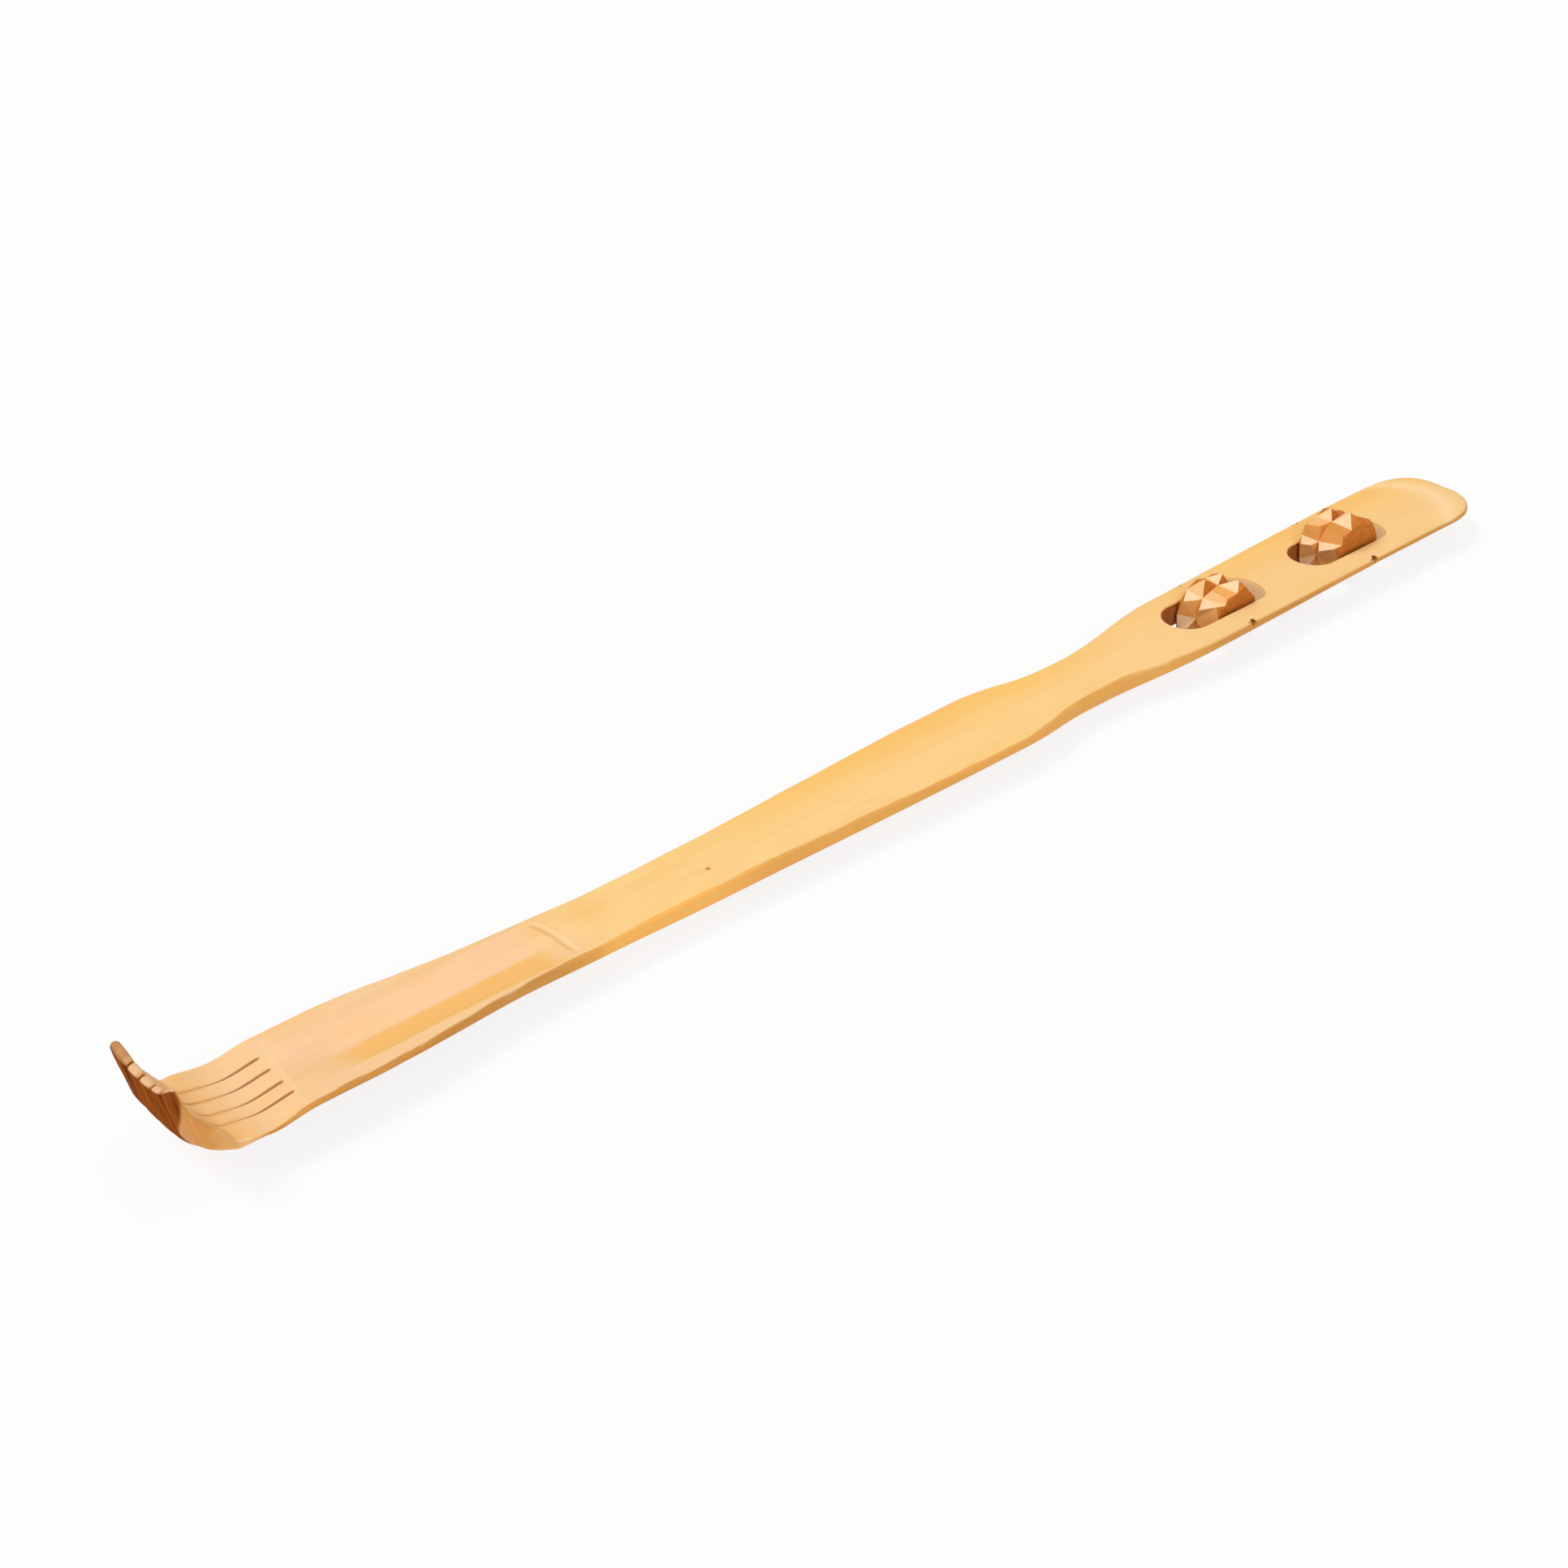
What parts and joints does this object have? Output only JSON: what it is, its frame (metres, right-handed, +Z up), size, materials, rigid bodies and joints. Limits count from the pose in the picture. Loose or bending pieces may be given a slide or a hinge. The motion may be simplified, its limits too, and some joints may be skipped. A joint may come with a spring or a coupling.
{
  "type": "back scratcher",
  "caption": "Slim bamboo back scratcher with a bent, slit claw at one end and toothed massage rollers on cross pins in the slots of its rounded paddle end.",
  "frame": {"origin": "middle of the bounding box at its bottom, where the rollers touch a surface", "axes": "+X along the handle from the claw to the tip of the paddle, +Y across the handle along the roller axles, +Z up out of the hollow face, the way the claw bends"},
  "size_m": [0.4716, 0.0346, 0.0328],
  "materials": {
    "bamboo": "smooth clear-sealed bamboo",
    "roller_wood": "plain cut wood",
    "pin_bamboo": "plain cut bamboo"
  },
  "bodies": {
    "handle": {"scratcher_body": "bamboo", "inner_pin": "pin_bamboo", "outer_pin": "pin_bamboo"},
    "inner_wheel": {"inner_roller": "roller_wood"},
    "outer_wheel": {"outer_roller": "roller_wood"}
  },
  "joints": [
    {"name": "inner_roller_spin", "type": "hinge", "parent": "handle", "child": "inner_wheel", "pos_m": [0.12091, -0.00175, 0.01029], "axis": [0, 1, 0], "continuous": true},
    {"name": "outer_roller_spin", "type": "hinge", "parent": "handle", "child": "outer_wheel", "pos_m": [0.17921, -0.00175, 0.01029], "axis": [0, 1, 0], "continuous": true}
  ]
}
